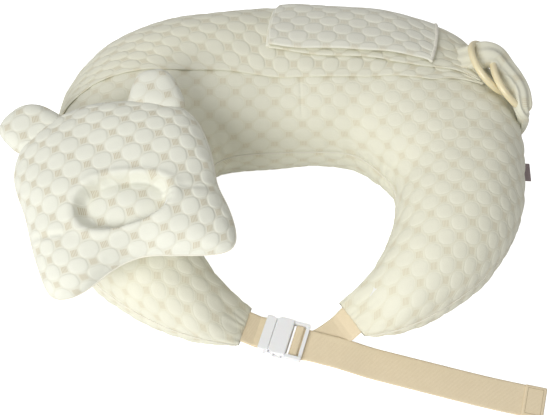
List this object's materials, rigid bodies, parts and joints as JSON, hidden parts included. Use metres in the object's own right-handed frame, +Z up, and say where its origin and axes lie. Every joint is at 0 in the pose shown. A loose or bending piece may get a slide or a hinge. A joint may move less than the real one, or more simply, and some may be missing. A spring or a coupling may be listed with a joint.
{
  "type": "nursing pillow",
  "caption": "C-shaped nursing pillow with quilted cover, buckled waist strap, sling-ring back guard and a small bear-shaped head pillow resting on one arm.",
  "frame": {"origin": "on the floor under the middle of the back bolster, in the plane the pillow rests on", "axes": "+X toward the pillow's right arm seen from the open side, +Y away from the open side, toward the back bolster, +Z up"},
  "size_m": [0.637, 0.5438, 0.2107],
  "materials": {
    "quilted_knit": "puffed jacquard knit, cream with beige checks",
    "head_knit": "puffed jacquard knit, cream",
    "bag_cloth": "plain white lining",
    "fibre": "loose hollow fibre",
    "zip_tape": "woven tape",
    "zip_nylon": "moulded nylon",
    "zip_metal": "enamelled",
    "ring_plastic": "smooth cream plastic",
    "label_ribbon": "woven ribbon, blank",
    "webbing": "ribbed cotton webbing",
    "thread": "sewing thread",
    "buckle_plastic": "satin white acetal"
  },
  "bodies": {
    "cushion": {"main_cover_top": "quilted_knit", "main_cover_bottom": "quilted_knit", "inner_bag_top": "bag_cloth", "inner_bag_bottom": "bag_cloth", "fibre_fill": "fibre", "zip_tape_upper": "zip_tape", "zip_tape_lower": "zip_tape", "zip_coil": "zip_nylon", "zip_stops": "zip_nylon", "guard_band": "quilted_knit", "ring_holder": "quilted_knit", "side_label": "label_ribbon", "short_strap": "webbing", "buckle_plug": "buckle_plastic"},
    "zip_runner": {"zip_slider": "zip_metal"},
    "zip_tab": {"zip_pull": "zip_metal"},
    "ring_front": {"front_ring": "ring_plastic"},
    "ring_rear": {"rear_ring": "ring_plastic"},
    "arm_rear": {"buckle_arm_rear": "buckle_plastic"},
    "arm_front": {"buckle_arm_front": "buckle_plastic"},
    "belt": {"buckle_socket": "buckle_plastic", "long_strap": "webbing", "strap_bartacks": "thread"},
    "head_pillow": {"head_cover_top": "head_knit", "head_cover_bottom": "head_knit", "head_fill": "fibre", "ear_left": "head_knit", "ear_right": "head_knit"}
  },
  "joints": [
    {"name": "buckle_release", "type": "slide", "parent": "cushion", "child": "belt", "axis": [0.95, -0.3123, 0], "range_m": [0, 0.03], "deforming": ["long_strap", "buckle_arm_rear", "buckle_arm_front"]},
    {"name": "buckle_squeeze_rear", "type": "hinge", "parent": "cushion", "child": "arm_rear", "pos_m": [-0.02435, -0.30257, 0.008], "axis": [0, 0, -1], "range_deg": [0, 7]},
    {"name": "buckle_squeeze_front", "type": "hinge", "parent": "cushion", "child": "arm_front", "pos_m": [-0.03472, -0.33411, 0.008], "axis": [0, 0, -1], "range_deg": [-7, 0]},
    {"name": "zip_travel", "type": "hinge", "parent": "cushion", "child": "zip_runner", "pos_m": [0, -0.698, 0.082], "axis": [0, 0, 1], "range_deg": [0, 16.4]},
    {"name": "zip_pull_flip", "type": "hinge", "parent": "zip_runner", "child": "zip_tab", "pos_m": [0.1151, 0.10075, 0.082], "axis": [0, 0, -1], "range_deg": [0, 150]},
    {"name": "front_ring_turn", "type": "hinge", "parent": "cushion", "child": "ring_front", "pos_m": [0.2493, -0.0376, 0.1507], "axis": [0.687, 0.063, 0.724], "range_deg": [-45, 45]},
    {"name": "rear_ring_turn", "type": "hinge", "parent": "cushion", "child": "ring_rear", "pos_m": [0.2737, -0.0572, 0.1419], "axis": [0.7022, 0.05, 0.7102], "range_deg": [-45, 45]},
    {"name": "head_pillow_lift", "type": "slide", "parent": "cushion", "child": "head_pillow", "axis": [0, 0, 1], "range_m": [0, 0.15]}
  ],
  "couplings": [
    {"joint": "buckle_squeeze_front", "follows": "buckle_squeeze_rear", "ratio": -1}
  ]
}
